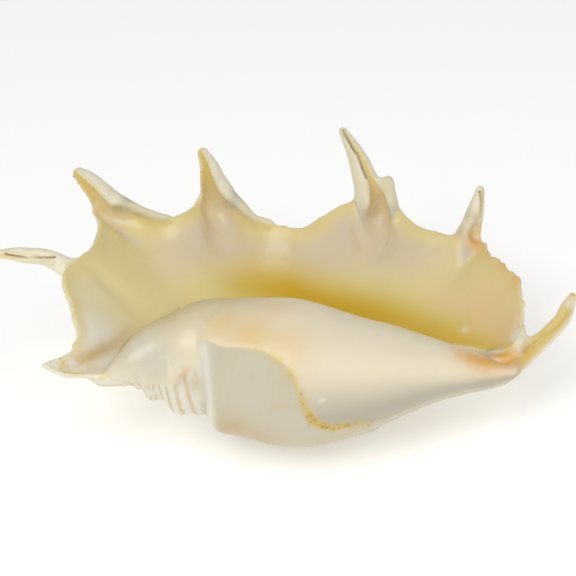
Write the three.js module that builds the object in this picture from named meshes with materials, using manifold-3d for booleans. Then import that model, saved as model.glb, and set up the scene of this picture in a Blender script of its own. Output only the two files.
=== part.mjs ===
// Spider conch shell, lying on its back with the opening facing up. Millimetres, +Z up.
// The shell is shaped in its own frame: X runs along the winding axis from the spire to the
// siphonal canal, Y from the body whorl out to the flared lip, and Z from the back of the
// shell to the side with the opening. At the end it is tipped onto the points it rests on.
import * as THREE from "three";
import Module from "manifold-3d";
import { LoftGeometry } from "three/addons/geometries/LoftGeometry.js";
import { mergeVertices } from "three/addons/utils/BufferGeometryUtils.js";

// Driving dimensions of the body whorl: distance from the winding axis to the outer skin,
// at stations along the axis and in six directions around it.
const BODY_X = [-60, -43, -33, -20, -8, 4, 17, 29, 42, 54, 67, 79, 92, 104, 116];
const BODY_RIDGE = [26, 33, 36, 38.6, 38.6, 38, 35, 31, 27.3, 24.3, 20, 16, 11.5, 6.5, 1.5];
const BODY_FACE = [21, 27, 31, 34.5, 37, 38, 36, 32.5, 28.5, 24, 18.5, 14, 10.5, 6.5, 1.5];
const BODY_NEAR = [20, 26, 29.3, 32, 36, 37.5, 36.5, 33.4, 29.3, 23.4, 16.6, 12.4, 9.5, 6.5, 1.5];
const BODY_BACK = [26, 33, 38, 42, 44, 44, 42.5, 40, 36, 31, 25, 19, 14, 8, 1.5];
const BODY_WALL = [34, 42, 50, 56, 59, 59, 57, 53, 48, 42, 35, 29, 23, 15, 2];
const BODY_LIP = [36, 46, 55, 61, 64, 63, 60, 55, 49, 43, 37, 31, 26, 18, 2];
const INNER_TURN = 7;
const INNER_SHARE = 0.74;
const RIDGE_TURN = 55;
const FACE_TURN = 145;
const NEAR_TURN = 235;
const BACK_TURN = 280;
const WALL_TURN = 325;
const LIP_TURN = 354;

// Where the body and spire are cut into rings, closer together where seams lie.
const BODY_RINGS = [
  -77.5, -76.6, -75.6, -74.6, -73, -70, -67, -65, -63.5, -61, -57, -52.5, -48.5, -45.5, -43,
  -40.5, -38, -35, -30, -24, -17, -9, 0, 9, 18, 28, 38, 48, 58, 68, 78, 88, 98, 108, 116,
];
const AROUND = 36;

// Driving dimensions of the spire: where each seam crosses the side that faces the front,
// the radius at each seam, and the radius at the shoulder that follows it.
const SEAM_X = [-84, -79, -74.5, -65, -43, -8];
const SEAM_COUNT = [-4, -3, -2, -1, 0, 1];
const SEAM_RADIUS = [1, 2.6, 5.6, 10, 19, 26];
const SHOULDER_RADIUS = [1.5, 4.6, 9.4, 15, 24, 27];
const SHOULDER_SHARE = 0.2;
const AXIS_DROP = 0.04;

// Where the seam of the body whorl lies, going round: it climbs the spire on the lip's side.
const BODY_SEAM_TURN = [0, 60, 100, 126, 149, 173, 200, 235, 280, 320, 360];
const BODY_SEAM_X = [-62, -55, -46.5, -44.6, -43.6, -42.7, -42.2, -42, -45, -54, -62];
const BODY_SHOULDER = 5;

// Outline of the lip and the line it grows from, both seen from the opening side:
// edge x, edge y, root x, root y.
const LIP_PLAN = [
  [-84, -2, -82, 2], [-95, -4, -80, 4], [-108, -5, -78, 5], [-117, -4, -76, 6],
  [-125, 0, -74, 7], [-119, 5, -71, 8], [-112, 9, -68, 9], [-110, 15, -65, 10],
  [-109, 22, -62, 12], [-112, 31, -59, 15], [-114, 39, -56, 18], [-118, 51, -53, 22],
  [-116, 63, -50, 27], [-109, 74, -47, 32], [-104, 84, -44, 37], [-102, 104, -42, 41],
  [-105, 119, -40, 44], [-98, 127, -38, 47], [-87, 128, -36, 49], [-77, 117, -34, 51],
  [-66, 112, -31, 53], [-55, 117, -28, 55], [-47, 129, -25, 57], [-38, 133, -22, 58],
  [-27, 130, -18, 59], [-17, 110, -12, 60], [-3, 104, -4, 61], [8, 104, 4, 60],
  [22, 117, 12, 58], [34, 124, 20, 55], [46, 128, 26, 52], [56, 124, 33, 49],
  [69, 104, 42, 45], [84, 95, 52, 40], [91, 96, 58, 37], [97, 98, 62, 35],
  [103, 93, 67, 32], [107, 78, 73, 29], [114, 66, 80, 25], [121, 53, 86, 22],
  [122, 38, 92, 18], [122, 26, 97, 14], [118, 15, 101, 11], [112, 8, 104, 8],
];
const EDGE_LOW = 3;
const EDGE_RISE = 21;
const EDGE_FLAT_Y = 60;
const EDGE_START_Y = -15;
const ROOT_LEVEL = -3;
const HOLLOW_POWER = 1.7;
const LIP_THICKNESS = 4.4;
const RIM_THICKNESS = 6.4;
const RIM_FROM = 0.75;
const RIM_INSET = 2.2;
const RIM_INSET_SHARE = 0.2;
const RIM_CORNERS = [0.3, 0.7];
const ROOT_THICKNESS = 8;
const ROOT_UNTIL = 0.35;
const LIP_STEPS = 7;

// The hollow of the opening, measured from the winding axis.
const HOLLOW_X = [-44, -38, -30, -18, 0, 20, 40, 60, 78, 90, 96, 100];
const HOLLOW_IN = [37.5, 35, 35.5, 36, 35.5, 32, 26, 20.5, 15, 11.5, 11, 12];
const HOLLOW_OUT = [38.5, 43, 48.5, 54, 57, 53, 45, 37, 29, 23.5, 18, 13];
const HOLLOW_TURNS = [-52, -44, -34, -22, -10, 2, 14, 28, 44, 58];
const HOLLOW_FLOOR = [-58, -20];
const HOLLOW_FAR_FLARE = 0.5;
const HOLLOW_FAR_TURNS = [-4, 58];
const HOLLOW_NEAR_FLARE = 0.32;
const HOLLOW_NEAR_TURNS = [12, 42];
const HOLLOW_FLOOR_GAP = 0.5;

// Long fingers of the lip and the small nub: points along each, with its half width.
const FINGERS = [
  [[-86, 60, 5, 2], [-98, 65, 12, 7.5], [-110, 69, 18, 7], [-125, 72, 21.5, 4.6],
    [-140, 73, 23.5, 4], [-150.5, 73.4, 24, 2.6]],
  [[-76, 98, 5, 2], [-87, 111, 12, 8], [-95, 120, 21, 7.8], [-102, 124.5, 29, 6.2],
    [-108, 127, 35, 5], [-112.5, 127.5, 39, 3.4]],
  [[-34, 102, 5, 2], [-36, 116, 13, 9], [-38, 127, 23, 9.2], [-41, 132, 33, 7],
    [-43, 135, 40, 5], [-46, 137, 46.5, 3]],
  [[47, 96, 5, 2], [48, 111, 13, 9], [46, 123, 23, 9.5], [42, 129, 34, 7],
    [37, 135, 46, 5], [29.5, 141, 58, 2.2]],
  [[55, 110, 18, 2], [55.5, 118, 27, 3.4], [54, 126, 36, 2]],
  [[92, 74, 6, 2], [95, 87, 14, 6.5], [97, 96, 23, 6.2], [100, 102, 32, 4.6],
    [102.5, 108, 41.5, 2.4]],
];
// The way that the gutter of each finger faces, and how deep and wide a gutter is.
const FINGER_OPEN = [
  [0, -1.1, 0.16], [-0.4, -1.08, 0.2], [-0.3, -0.82, 0.57], [0.35, -0.82, 0.57], [0, -0.8, 0.6],
  [0.95, -0.7, 0.4],
];
const FINGER_GUTTER = 0.5;
const GUTTER_HALF_TURN = 0.42;
const FINGER_SIDES = 12;
const FINGER_STEPS = 9;

// The siphonal canal: a bent open channel that ends in an upturned hook.
const CANAL = [
  [88, 3, -6, 4], [100, 6, -3, 8.6], [111, 9, -2, 7.4], [119, 13, 0, 6.6], [128, 20, 4, 6.4],
  [136, 27, 8, 6.2], [142, 33, 12, 5.8], [145, 38, 15, 4.6], [147.5, 42, 19, 2],
];
const CANAL_OPEN = [-0.1, -0.6, 0.8];
const CANAL_GUTTER = 0.62;
const CANAL_SIDES = 16;
const CANAL_STEPS = 14;

// The glazed fold that runs from the body whorl over the spire to the corner of the lobe.
const FOLD = [
  [-94, -3, -1, 2], [-89, -2, 1, 4.5], [-80, 1, 5, 9.3], [-67, 7.5, 8, 15], [-52, 9, 8.5, 22],
  [-40, 10, 8, 26], [-26, 8, 6, 26],
];
const FOLD_SIDES = 14;
const FOLD_STEPS = 9;

// Blunt knobs on the back, which the shell lies on: centre and half sizes.
const KNOBS = [
  [-20, 38, -33, 20, 15, 17], [-20, 15, -36, 16, 12, 12.5], [32, 12, -35, 20, 12, 10.5],
  [27, 33, -33, 22, 14, 12.5],
];
const KNOB_AROUND = 16;
const KNOB_RINGS = 10;

// The shell is pitched from its own frame until the knobs stand level, and they are worn
// flat at this height.
const REST_PITCH = 3.7;
const REST_LEVEL = -46;

const wasm = await Module();
wasm.setup();

// A value read off a smooth curve through keys and values, with no overshoot.
function along(keys, values, at) {
  const last = keys.length - 1;
  if (at <= keys[0]) return values[0];
  if (at >= keys[last]) return values[last];
  let i = 0;
  while (at > keys[i + 1]) i += 1;
  const rise = (j) => (values[j + 1] - values[j]) / (keys[j + 1] - keys[j]);
  const slope = (j) => {
    if (j === 0) return rise(0);
    if (j === last) return rise(last - 1);
    const before = rise(j - 1);
    const after = rise(j);
    return before * after <= 0 ? 0 : (2 * before * after) / (before + after);
  };
  const width = keys[i + 1] - keys[i];
  const t = (at - keys[i]) / width;
  const ease = t * t * (3 - 2 * t);
  const start = t * (1 - t) * (1 - t) * width * slope(i);
  const end = t * t * (t - 1) * width * slope(i + 1);
  return values[i] + (values[i + 1] - values[i]) * ease + start + end;
}

function smooth(from, to, at) {
  return THREE.MathUtils.smoothstep(at, from, to);
}

function axisZ(x) {
  return AXIS_DROP * Math.min(x, 0);
}

// Radius of the spire at x and a turn in degrees. The seams wind as a true helix.
function spireRadius(x, turn) {
  const count = along(SEAM_X, SEAM_COUNT, x);
  const phase = count - (turn - 180) / 360;
  const share = phase - Math.floor(phase);
  const start = count - share;
  const seam = along(SEAM_COUNT, SEAM_RADIUS, start);
  const shoulder = along(SEAM_COUNT, SHOULDER_RADIUS, start);
  const next = along(SEAM_COUNT, SEAM_RADIUS, start + 1);
  const rise = smooth(0, SHOULDER_SHARE, share);
  const fall = Math.max(0, share - SHOULDER_SHARE) / (1 - SHOULDER_SHARE);
  return seam + (shoulder - seam) * rise + (next - shoulder) * fall * fall;
}

// Radius of the last whorl at x and a turn from 0 to 360 degrees.
function whorlRadius(x, turn) {
  const ridge = along(BODY_X, BODY_RIDGE, x);
  const wall = along(BODY_X, BODY_WALL, x);
  const lip = along(BODY_X, BODY_LIP, x);
  const inner = lip * INNER_SHARE;
  const turns = [WALL_TURN - 360, LIP_TURN - 360, INNER_TURN, RIDGE_TURN, FACE_TURN, NEAR_TURN,
    BACK_TURN, WALL_TURN, LIP_TURN, INNER_TURN + 360];
  const radii = [wall, lip, inner, ridge, along(BODY_X, BODY_FACE, x), along(BODY_X, BODY_NEAR, x),
    along(BODY_X, BODY_BACK, x), wall, lip, inner];
  return along(turns, radii, turn);
}

function bodyRadius(x, turn) {
  const seam = along(BODY_SEAM_TURN, BODY_SEAM_X, turn);
  const spire = spireRadius(x, turn);
  const whorl = whorlRadius(x, turn);
  return THREE.MathUtils.lerp(spire, whorl, smooth(seam, seam + BODY_SHOULDER, x));
}

// A closed mesh as a solid.
function toSolid(mesh) {
  const shape = new THREE.BufferGeometry();
  shape.setAttribute("position", mesh.attributes.position);
  shape.setIndex(mesh.index);
  const merged = mergeVertices(shape, 1e-4);
  const corners = Array.from(merged.index.array);
  const triVerts = [];
  for (let i = 0; i < corners.length; i += 3) {
    const [p, q, r] = corners.slice(i, i + 3);
    if (p !== q && q !== r && r !== p) triVerts.push(p, q, r);
  }
  return new wasm.Manifold(new wasm.Mesh({
    numProp: 3,
    vertProperties: Float32Array.from(merged.attributes.position.array),
    triVerts: Uint32Array.from(triVerts),
  }));
}

// The area of a section as a vector that points along the way it is walked round.
function sectionArea(section) {
  const area = new THREE.Vector3();
  section.forEach((point, i) => {
    area.add(new THREE.Vector3().crossVectors(point, section[(i + 1) % section.length]));
  });
  return area;
}

function sectionMiddle(section) {
  const sum = new THREE.Vector3();
  section.forEach((point) => sum.add(point));
  return sum.divideScalar(section.length);
}

// A closed solid skinned over sections, which are turned round where they face backwards.
function loft(sections) {
  let advance = 0;
  for (let i = 1; i < sections.length; i += 1) {
    const step = sectionMiddle(sections[i]).sub(sectionMiddle(sections[i - 1]));
    advance += step.dot(sectionArea(sections[i]));
  }
  const turned = advance < 0 ? sections.map((section) => [...section].reverse()) : sections;
  return toSolid(new LoftGeometry(turned, { closed: true, capStart: true, capEnd: true }));
}

function ring(count, place) {
  return Array.from({ length: count }, (_, i) => place((360 * i) / count, i));
}

function bodySolid() {
  const radians = THREE.MathUtils.degToRad;
  return loft(BODY_RINGS.map((x) => ring(AROUND, (turn) => {
    const radius = bodyRadius(x, turn);
    const y = radius * Math.cos(radians(turn));
    return new THREE.Vector3(x, y, axisZ(x) + radius * Math.sin(radians(turn)));
  })));
}

function edgeLevel(y) {
  return EDGE_LOW + EDGE_RISE * smooth(EDGE_START_Y, EDGE_FLAT_Y, y);
}

// The flared lip: a curved sheet from its root in the whorl to its thick rounded rim.
function lipSolid() {
  const shares = Array.from({ length: LIP_STEPS + 1 }, (_, i) => i / LIP_STEPS);
  return loft(LIP_PLAN.map(([edgeX, edgeY, rootX, rootY]) => {
    const level = edgeLevel(edgeY);
    const top = (share) => new THREE.Vector3(
      THREE.MathUtils.lerp(rootX, edgeX, share),
      THREE.MathUtils.lerp(rootY, edgeY, share),
      ROOT_LEVEL + (level - ROOT_LEVEL) * share ** HOLLOW_POWER,
    );
    const thickness = (share) => LIP_THICKNESS
      + (RIM_THICKNESS - LIP_THICKNESS) * smooth(RIM_FROM, 1, share)
      + (ROOT_THICKNESS - LIP_THICKNESS) * (1 - smooth(0, ROOT_UNTIL, share));
    const upper = shares.slice(0, -1).map(top);
    const out = new THREE.Vector3(edgeX - rootX, edgeY - rootY, 0).normalize();
    const down = new THREE.Vector3(0, 0, -RIM_THICKNESS);
    const rim = top(1);
    const width = Math.hypot(edgeX - rootX, edgeY - rootY);
    const inset = Math.min(RIM_INSET, RIM_INSET_SHARE * width);
    const edge = [
      rim.clone().addScaledVector(out, -inset),
      ...RIM_CORNERS.map((share) => rim.clone().addScaledVector(down, share)),
      rim.clone().addScaledVector(down, 1).addScaledVector(out, -inset),
    ];
    const lower = shares.slice(0, -1).reverse().map((share) => {
      const point = top(share);
      point.z -= thickness(share);
      return point;
    });
    return [...upper, ...edge, ...lower];
  }));
}

// A tapered tube along points, with a gutter down the side that faces a given way.
function gutterTube(rows, open, depth, sides, steps) {
  const side = new THREE.Vector3(...open);
  const path = new THREE.CatmullRomCurve3(rows.map(([x, y, z]) => new THREE.Vector3(x, y, z)));
  const keys = rows.map((_, i) => i / (rows.length - 1));
  const halves = rows.map((row) => row[3]);
  const sections = [];
  for (let i = 0; i <= steps; i += 1) {
    const t = i / steps;
    const centre = path.getPoint(t);
    const forward = path.getTangent(t);
    const up = side.clone().addScaledVector(forward, -side.dot(forward)).normalize();
    const across = new THREE.Vector3().crossVectors(forward, up);
    const half = along(keys, halves, t);
    sections.push(ring(sides, (turn) => {
      const angle = THREE.MathUtils.degToRad(turn);
      const away = Math.min(angle, 2 * Math.PI - angle) / GUTTER_HALF_TURN;
      const radius = half * (1 - depth * Math.exp(-away * away));
      return centre.clone()
        .addScaledVector(up, radius * Math.cos(angle))
        .addScaledVector(across, radius * Math.sin(angle));
    }));
  }
  return loft(sections);
}

function hollowSolid() {
  return loft(HOLLOW_X.map((x) => {
    const inner = along(HOLLOW_X, HOLLOW_IN, x);
    const outer = along(HOLLOW_X, HOLLOW_OUT, x);
    const middle = (inner + outer) / 2;
    const place = (radius, turn) => {
      const angle = THREE.MathUtils.degToRad(turn);
      return new THREE.Vector3(x, radius * Math.cos(angle), axisZ(x) + radius * Math.sin(angle));
    };
    const swell = (turn) => smooth(...HOLLOW_FLOOR, turn);
    const farFlare = (turn) => 1 + HOLLOW_FAR_FLARE * smooth(...HOLLOW_FAR_TURNS, turn);
    const nearFlare = (turn) => 1 + HOLLOW_NEAR_FLARE * smooth(...HOLLOW_NEAR_TURNS, turn);
    const near = HOLLOW_TURNS.map((turn) => place(
      THREE.MathUtils.lerp(middle, inner * nearFlare(turn), swell(turn)), turn));
    const far = HOLLOW_TURNS.map((turn) => place(
      THREE.MathUtils.lerp(middle + HOLLOW_FLOOR_GAP, outer * farFlare(turn), swell(turn)), turn));
    return [...near, ...far.reverse()];
  }));
}

function knobSolid([x, y, z, halfX, halfY, halfZ]) {
  const ball = new THREE.SphereGeometry(1, KNOB_AROUND, KNOB_RINGS);
  ball.scale(halfX, halfY, halfZ);
  ball.translate(x, y, z);
  return toSolid(ball);
}

function toGeometry(solid) {
  const mesh = solid.getMesh();
  const geometry = new THREE.BufferGeometry();
  geometry.setAttribute("position", new THREE.BufferAttribute(mesh.vertProperties, 3));
  geometry.setIndex(new THREE.BufferAttribute(mesh.triVerts, 1));
  return geometry;
}

function shellGeometry() {
  let shell = bodySolid().add(lipSolid());
  KNOBS.forEach((knob) => {
    shell = shell.add(knobSolid(knob));
  });
  shell = shell.subtract(hollowSolid());
  shell = shell.add(gutterTube(FOLD, CANAL_OPEN, 0, FOLD_SIDES, FOLD_STEPS));
  FINGERS.forEach((finger, i) => {
    const tube = gutterTube(finger, FINGER_OPEN[i], FINGER_GUTTER, FINGER_SIDES, FINGER_STEPS);
    shell = shell.add(tube);
  });
  shell = shell.add(gutterTube(CANAL, CANAL_OPEN, CANAL_GUTTER, CANAL_SIDES, CANAL_STEPS));
  return settle(toGeometry(shell));
}

// The shell tipped onto its knobs, worn flat under them and set in the middle of its floor.
function settle(geometry) {
  geometry.rotateY(THREE.MathUtils.degToRad(REST_PITCH));
  geometry.computeBoundingBox();
  const size = geometry.boundingBox.getSize(new THREE.Vector3()).multiplyScalar(2);
  const worn = new THREE.BoxGeometry(size.x, size.y, size.z);
  worn.translate(0, 0, REST_LEVEL - size.z / 2);
  const settled = toGeometry(toSolid(geometry).subtract(toSolid(worn)));
  settled.computeBoundingBox();
  const { min, max } = settled.boundingBox;
  settled.translate(-(min.x + max.x) / 2, -(min.y + max.y) / 2, -min.z);
  return settled;
}

const shell = new THREE.Mesh(
  shellGeometry(),
  new THREE.MeshStandardMaterial({ color: 0xe6dcbc, roughness: 0.45, metalness: 0 }),
);
shell.name = "shell";

const group = new THREE.Group();
group.add(shell);
export default group;
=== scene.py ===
# %% [markdown]
# # A spider conch shell
# This lesson models one large seashell: a spire, a swollen body whorl, a lip that flares out
# into long fingers, and a hooked canal. The construction model gives its size and place, and
# stays hidden behind the fine mesh that is made here. All shaping is done in millimetres in
# the shell's own frame: X along the winding axis from the spire to the canal, Y out to the
# lip, Z from the back of the shell to the side with the opening.

# %% The frame and the tools
import math

import bpy
import numpy as np
from mathutils import Matrix, Vector


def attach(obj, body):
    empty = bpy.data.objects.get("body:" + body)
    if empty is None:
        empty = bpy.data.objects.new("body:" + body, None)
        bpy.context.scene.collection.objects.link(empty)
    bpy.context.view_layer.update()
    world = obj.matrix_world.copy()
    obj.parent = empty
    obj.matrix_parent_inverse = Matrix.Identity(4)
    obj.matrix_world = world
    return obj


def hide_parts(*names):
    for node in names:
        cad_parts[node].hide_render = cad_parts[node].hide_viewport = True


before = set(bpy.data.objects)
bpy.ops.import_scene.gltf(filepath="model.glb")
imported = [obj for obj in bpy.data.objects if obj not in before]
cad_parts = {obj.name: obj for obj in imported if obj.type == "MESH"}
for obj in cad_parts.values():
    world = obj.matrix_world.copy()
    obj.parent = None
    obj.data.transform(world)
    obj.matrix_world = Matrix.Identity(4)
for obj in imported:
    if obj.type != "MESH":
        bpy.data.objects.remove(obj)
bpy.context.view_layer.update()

# %% [markdown]
# ## Reading a smooth curve
# A shell has few straight lines, so most sizes are short lists that are read along a smooth
# curve. A plain spline would swing past its keys and put false bulges in the whorls. This one
# limits its slopes, so it never overshoots.


# %% Smooth curves through short lists
FAR_AWAY = 1e9
TINY = 1e-9


def along(keys, values, at):
    """Reads values at any place between keys, smoothly and with no overshoot."""
    keys = np.asarray(keys, float)
    values = np.asarray(values, float)
    rise = np.diff(values) / np.diff(keys)
    slope = np.empty_like(values)
    slope[..., 0] = rise[..., 0]
    slope[..., -1] = rise[..., -1]
    before, after = rise[..., :-1], rise[..., 1:]
    same_way = before * after > 0
    total = np.where(same_way, before + after, 1.0)
    slope[..., 1:-1] = np.where(same_way, 2 * before * after / total, 0.0)
    at = np.clip(at, keys[0], keys[-1])
    i = np.clip(np.searchsorted(keys, at, side="right") - 1, 0, len(keys) - 2)
    width = keys[i + 1] - keys[i]
    t = (at - keys[i]) / width
    low, high = values[..., i], values[..., i + 1]
    bend = t * (1 - t) ** 2 * slope[..., i] + t * t * (t - 1) * slope[..., i + 1]
    return low + (high - low) * t * t * (3 - 2 * t) + width * bend


def smooth(start, end, at):
    """Rises smoothly from 0 at start to 1 at end."""
    t = np.clip((at - start) / (end - start), 0, 1)
    return t * t * (3 - 2 * t)


def smooth_path(points, steps):
    """Extra points between the given ones, on a Catmull-Rom curve."""
    points = np.asarray(points, float)
    padded = np.vstack([2 * points[0] - points[1], points, 2 * points[-1] - points[-2]])
    rows = []
    for i in range(len(points) - 1):
        a, b, c, d = padded[i:i + 4]
        t = (np.arange(steps) / steps)[:, None]
        rows.append(0.5 * (2 * b + (c - a) * t + (2 * a - 5 * b + 4 * c - d) * t ** 2
                           + (3 * b - a - 3 * c + d) * t ** 3))
    return np.vstack(rows + [points[-1:]])


# %% [markdown]
# ## The whorls
# The body of the shell is round, but not the same all round: it swells towards the lip, as a
# tube does that grows while it winds. So the distance from the axis is given in six
# directions. The spire is a helix: going once round, each seam moves on by one whorl.

# %% Sizes of the whorls
BODY_X = [-60, -43, -33, -20, -8, 4, 17, 29, 42, 54, 67, 79, 92, 104, 116]
BODY_RIDGE = [26, 33, 36, 38.6, 38.6, 38, 35, 31, 27.3, 24.3, 20, 16, 11.5, 6.5, 1.5]
BODY_FACE = [21, 27, 31, 34.5, 37, 38, 36, 32.5, 28.5, 24, 18.5, 14, 10, 5, 1]
BODY_NEAR = [20, 26, 29.3, 32, 36, 37.5, 36.5, 33.4, 29.3, 23.4, 16.6, 11.9, 8, 4, 1]
BODY_BACK = [26, 33, 38, 42, 44, 44, 42.5, 40, 36, 31, 25, 19, 12.5, 6, 1]
BODY_WALL = [34, 42, 50, 56, 59, 59, 57, 53, 48, 42, 35, 29, 23, 15, 2]
BODY_LIP = [36, 46, 55, 61, 64, 63, 60, 55, 49, 43, 37, 31, 26, 18, 2]
TURNS = [-35, -6, 7, 55, 145, 235, 280, 325, 354, 367, 415]
INNER_SHARE = 0.74
SEAM_X = [-84, -79, -74.5, -65, -43, -8]
SEAM_COUNT = [-4, -3, -2, -1, 0, 1]
SEAM_RADIUS = [1, 2.6, 5.6, 10, 19, 26]
SHOULDER_RADIUS = [1.8, 5.0, 10.4, 18, 25, 27]
SHOULDER_SHARE = 0.42
BODY_SEAM_TURN = [0, 60, 100, 126, 149, 173, 200, 235, 280, 320, 360]
BODY_SEAM_X = [-62, -55, -46.5, -44.6, -43.6, -42.7, -42.2, -42, -45, -54, -62]
BODY_SHOULDER = 6.4
RIB_RISE = 1.3
RIB_WIDTH = 1.9
RIB_AFTER_SEAM = 3.2
SEAM_CUT = 0.9
SEAM_CUT_WIDTH = 0.8
CORDS_A_WHORL = 5
CORD_RISE = 0.14
CORDS_START = (0.02, 0.15)
CORDS_END = (0.75, 0.4)
FULL_CORD_RADIUS = 12
GLAZE_X = [-92, -82.7, -75, -69, -62, -58.7, -54.6, -50.4, -45.8, -42, -33, -21.5, -13, -5, 1,
           4.5, 6.5, 11, 17, 25, 36, 46.5, 60, 80, 100, 116]
GLAZE_TURN = [170, 166, 163, 160, 158, 157, 151, 128, 116, 108, 116.6, 120.6, 124.6, 132.6, 142,
              154, 163.6, 175, 188.6, 195, 200.6, 203, 207, 215, 228, 240]
GLAZE_THICKNESS = 0.5
GLAZE_STEP = 0.8
GLAZE_TOP = (18, 26)
AXIS_DROP = 0.04
APEX_X = -77.5
CANAL_END_X = 116
RIB_BEGINS = (100, 118)
RIB_ENDS = (310, 270)
CHART_START_X = -82
CHART_STEP_X = 0.5
CHART_STEP_TURN = 1.0
STEEPEST = 2
LEAST_RADIUS = 3


def axis_z(x):
    return AXIS_DROP * np.minimum(x, 0)


def spire_radius(x, turn):
    count = along(SEAM_X, SEAM_COUNT, x)
    phase = count - (turn - 180) / 360
    share = phase - np.floor(phase)
    start = count - share
    seam = along(SEAM_COUNT, SEAM_RADIUS, start)
    shoulder = along(SEAM_COUNT, SHOULDER_RADIUS, start)
    after = along(SEAM_COUNT, SEAM_RADIUS, start + 1)
    fall = np.maximum(0, share - SHOULDER_SHARE) / (1 - SHOULDER_SHARE)
    cords = np.cos(2 * math.pi * CORDS_A_WHORL * share) * smooth(*CORDS_START, share)
    cords *= CORD_RISE * smooth(*CORDS_END, share) * np.minimum(seam / FULL_CORD_RADIUS, 1)
    rise = (shoulder - seam) * np.sin(math.pi / 2 * np.minimum(share / SHOULDER_SHARE, 1))
    return seam + rise + (after - shoulder) * fall ** 2 + cords


def glaze_on_body(x, turn, radius):
    """1 where the animal's glaze covers the whorls, 0 on the bare outside."""
    short_of_edge = np.radians(along(GLAZE_X, GLAZE_TURN, x) - turn) * radius
    return smooth(-GLAZE_STEP, GLAZE_STEP, short_of_edge) * smooth(*GLAZE_TOP, turn)


# %% A chart of the whorls' radius
class Chart:
    """A table of values over a grid, read in between by bilinear weights."""

    def __init__(self, table, low, step):
        self.table = table.astype(np.float32)
        self.low = low
        self.step = step

    def __call__(self, u, v):
        rows, columns = self.table.shape
        u = np.clip((u - self.low[0]) / self.step[0], 0, rows - 1.001)
        v = np.clip((v - self.low[1]) / self.step[1], 0, columns - 1.001)
        i, j = u.astype(int), v.astype(int)
        a, b = u - i, v - j
        near = self.table[i, j] * (1 - b) + self.table[i, j + 1] * b
        far = self.table[i + 1, j] * (1 - b) + self.table[i + 1, j + 1] * b
        return near * (1 - a) + far * a


def body_charts():
    """The radius of the whorls, and how much a radial distance overstates the true one."""
    x = np.arange(CHART_START_X, CANAL_END_X + 2, CHART_STEP_X)
    turn = np.arange(-CHART_STEP_TURN, 360 + 2 * CHART_STEP_TURN, CHART_STEP_TURN)
    inner = INNER_SHARE * np.array(BODY_LIP)
    lists = [BODY_WALL, BODY_LIP, inner, BODY_RIDGE, BODY_FACE, BODY_NEAR, BODY_BACK, BODY_WALL,
             BODY_LIP, inner, BODY_RIDGE]
    whorl = along(TURNS, np.stack([along(BODY_X, row, x) for row in lists], -1), turn)
    spire = spire_radius(x[:, None], turn[None, :])
    seam = along(BODY_SEAM_TURN, BODY_SEAM_X, turn)[None, :]
    radius = spire + (whorl - spire) * smooth(seam, seam + BODY_SHOULDER, x[:, None])
    shown = (smooth(*RIB_BEGINS, turn) * smooth(*RIB_ENDS, turn))[None, :]
    past = x[:, None] - seam
    radius += shown * RIB_RISE * np.exp(-((past - RIB_AFTER_SEAM) / RIB_WIDTH) ** 2)
    radius -= shown * SEAM_CUT * np.exp(-(past / SEAM_CUT_WIDTH) ** 2)
    radius += GLAZE_THICKNESS * glaze_on_body(x[:, None], turn[None, :], radius)
    along_x = np.gradient(radius, CHART_STEP_X, axis=0)
    around = np.gradient(radius, math.radians(CHART_STEP_TURN), axis=1)
    around /= np.maximum(radius, LEAST_RADIUS)
    along_x, around = np.clip((along_x, around), -STEEPEST, STEEPEST)
    steep = 1 / np.sqrt(1 + along_x ** 2 + around ** 2)
    step = (CHART_STEP_X, CHART_STEP_TURN)
    return [Chart(table, (x[0], turn[0]), step) for table in (radius, steep)]


BODY_CHART, BODY_STEEP = body_charts()
print("widest whorl radius", round(float(BODY_CHART.table.max()), 1), "mm")

# %% [markdown]
# ## The flared lip
# The lip is one curved sheet. Its outline is drawn from above as pairs of points: one on the
# free edge and one on the line where the sheet leaves the whorl. Between each pair the sheet
# rises slowly at first and then steeply, which makes it a shallow bowl.

# %% Sizes of the lip
LIP_PLAN = [
    (-84, -2, -82, 2), (-95, -4, -80, 4), (-108, -5, -78, 5), (-117, -4, -76, 6),
    (-125, 0, -74, 7), (-119, 5, -71, 8), (-112, 9, -68, 9), (-110, 15, -65, 10),
    (-109, 22, -62, 12), (-112, 31, -59, 15), (-114, 39, -56, 18), (-118, 51, -53, 22),
    (-116, 63, -50, 27), (-109, 74, -47, 32), (-104, 84, -44, 37), (-102, 104, -42, 41),
    (-105, 119, -40, 44), (-98, 127, -38, 47), (-87, 128, -36, 49), (-77, 117, -34, 51),
    (-66, 112, -31, 53), (-55, 117, -28, 55), (-47, 129, -25, 57), (-38, 133, -22, 58),
    (-27, 130, -18, 59), (-17, 110, -12, 60), (-3, 104, -4, 61), (8, 104, 4, 60),
    (22, 117, 12, 58), (34, 124, 20, 55), (46, 128, 26, 52), (56, 124, 33, 49),
    (69, 104, 42, 45), (84, 95, 52, 40), (91, 96, 58, 37), (97, 98, 62, 35),
    (103, 93, 67, 32), (107, 78, 73, 29), (114, 66, 80, 25), (121, 53, 86, 22),
    (122, 38, 92, 18), (122, 26, 97, 14), (118, 15, 101, 11), (112, 8, 104, 8),
]
EDGE_LOW = 3
EDGE_RISE = 21
EDGE_START_Y = -15
EDGE_FLAT_Y = 60
ROOT_LEVEL = -3
HOLLOW_POWER = 1.7
LIP_THICKNESS = 4.0
RIM_THICKNESS = 4.4
ROOT_THICKNESS = 8
RIM_LIFT = 0.7
LOBE_THINNING = 0.4
SHEET_EVENING = 90
THICK_RIM_FROM = 0.72
THICK_ROOT_UNTIL = 0.35
RIM_LIFT_FROM = 0.86
LOBE_X = (-84, -104)
LOBE_Y = (18, 6)
SHEET_SHARES = (-0.15, 1.03)
SHEET_COLUMNS = 240
SPREAD_ROUNDS = 40
SPREAD_EVENING = 3
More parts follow.
